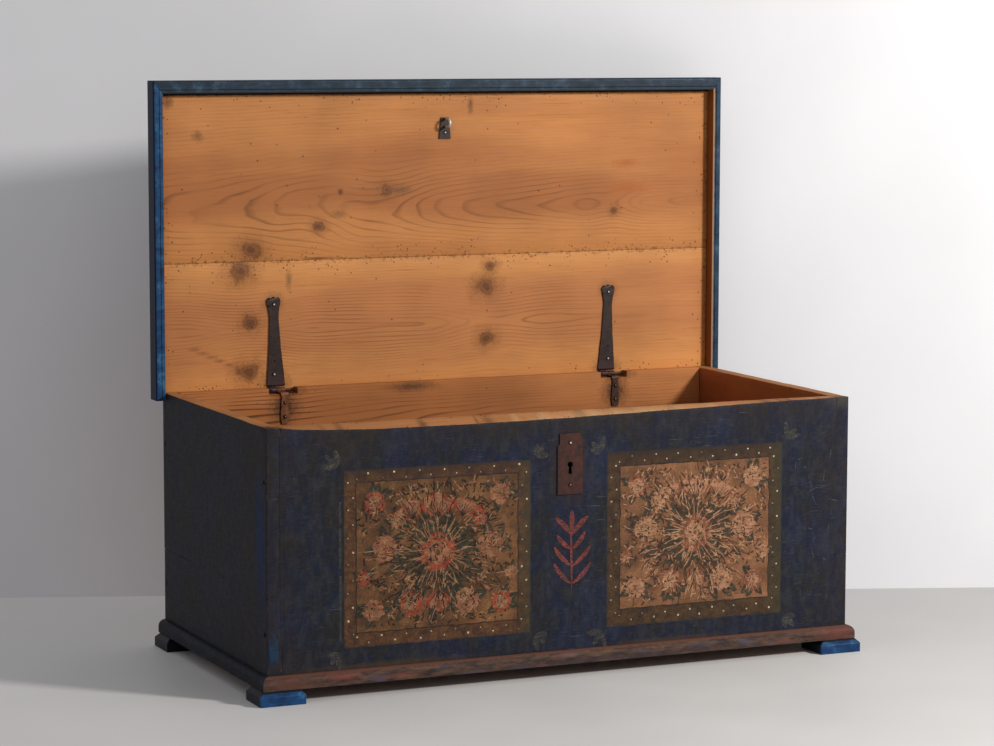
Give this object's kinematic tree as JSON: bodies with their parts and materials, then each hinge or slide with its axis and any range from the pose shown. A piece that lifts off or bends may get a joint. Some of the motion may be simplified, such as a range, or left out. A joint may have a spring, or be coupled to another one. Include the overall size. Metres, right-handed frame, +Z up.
{
  "type": "wedding trunk",
  "caption": "Painted pine trunk on block feet with a strap-hinged lid standing open, an iron key plate and a sliding-bolt chest lock behind it.",
  "frame": {"origin": "on the floor, under the middle of the box that the trunk fills with its lid open", "axes": "+X to the right along the front, +Y to the back, +Z up"},
  "size_m": [1.192, 0.6044, 1.0619],
  "materials": {
    "worn_navy_paint": "worn dark blue paint on pine",
    "bare_aged_pine": "bare aged pine",
    "dark_pine": "bare pine, darkened",
    "lid_blue_paint": "worn slate-blue paint on pine",
    "worn_brick_red_paint": "worn brick-red paint on pine",
    "foot_blue_paint": "worn blue paint on pine",
    "rusty_iron": "rusty wrought iron",
    "dark_forged_iron": "dark forged iron",
    "worn_nail_iron": "iron, worn bright",
    "peg_wood": "painted over with the side"
  },
  "bodies": {
    "chest": {"back_board_lower": "bare_aged_pine", "back_board_upper": "bare_aged_pine", "base_moulding_front": "worn_brick_red_paint", "base_moulding_left": "worn_navy_paint", "base_moulding_right": "worn_navy_paint", "bolt_keeper": "dark_forged_iron", "bottom_board_front": "dark_pine", "bottom_board_rear": "dark_pine", "corner_peg_back_left_lower": "peg_wood", "corner_peg_back_left_upper": "peg_wood", "corner_peg_back_right_lower": "peg_wood", "corner_peg_back_right_upper": "peg_wood", "corner_peg_front_left_lower": "peg_wood", "corner_peg_front_left_upper": "peg_wood", "corner_peg_front_right_lower": "peg_wood", "corner_peg_front_right_upper": "peg_wood", "foot_back_left": "foot_blue_paint", "foot_back_right": "foot_blue_paint", "foot_front_left": "foot_blue_paint", "foot_front_right": "foot_blue_paint", "front_board": "worn_navy_paint", "hinge_leaf_left": "dark_forged_iron", "hinge_leaf_nail_left_lower": "worn_nail_iron", "hinge_leaf_nail_left_upper": "worn_nail_iron", "hinge_leaf_nail_right_lower": "worn_nail_iron", "hinge_leaf_nail_right_upper": "worn_nail_iron", "hinge_leaf_right": "dark_forged_iron", "hinge_pin_left": "dark_forged_iron", "hinge_pin_right": "dark_forged_iron", "key_plate": "rusty_iron", "key_plate_nail_lower": "worn_nail_iron", "key_plate_nail_upper": "worn_nail_iron", "key_post": "dark_forged_iron", "left_side_board_lower": "worn_navy_paint", "left_side_board_upper": "worn_navy_paint", "lock_case": "dark_forged_iron", "lock_nail_left_lower": "worn_nail_iron", "lock_nail_left_upper": "worn_nail_iron", "lock_nail_right_lower": "worn_nail_iron", "lock_nail_right_upper": "worn_nail_iron", "lock_spring": "dark_forged_iron", "right_side_board_lower": "worn_navy_paint", "right_side_board_upper": "worn_navy_paint"},
    "lid": {"hinge_strap_left": "dark_forged_iron", "hinge_strap_nail_left_lower": "worn_nail_iron", "hinge_strap_nail_left_tip": "worn_nail_iron", "hinge_strap_nail_right_lower": "worn_nail_iron", "hinge_strap_nail_right_tip": "worn_nail_iron", "hinge_strap_right": "dark_forged_iron", "lid_board_front": "bare_aged_pine", "lid_board_rear": "bare_aged_pine", "lid_moulding_front": "lid_blue_paint", "lid_moulding_left": "lid_blue_paint", "lid_moulding_right": "lid_blue_paint", "lid_staple": "dark_forged_iron", "lid_staple_nail": "worn_nail_iron"},
    "bolt": {"lock_bolt": "dark_forged_iron"}
  },
  "joints": [
    {"name": "lid_hinge", "type": "hinge", "parent": "chest", "child": "lid", "pos_m": [0, 0.2782, 0.4745], "axis": [1, 0, 0], "range_deg": [0, 90]},
    {"name": "lock_bolt_slide", "type": "slide", "parent": "chest", "child": "bolt", "axis": [1, 0, 0], "range_m": [0, 0.014]}
  ]
}
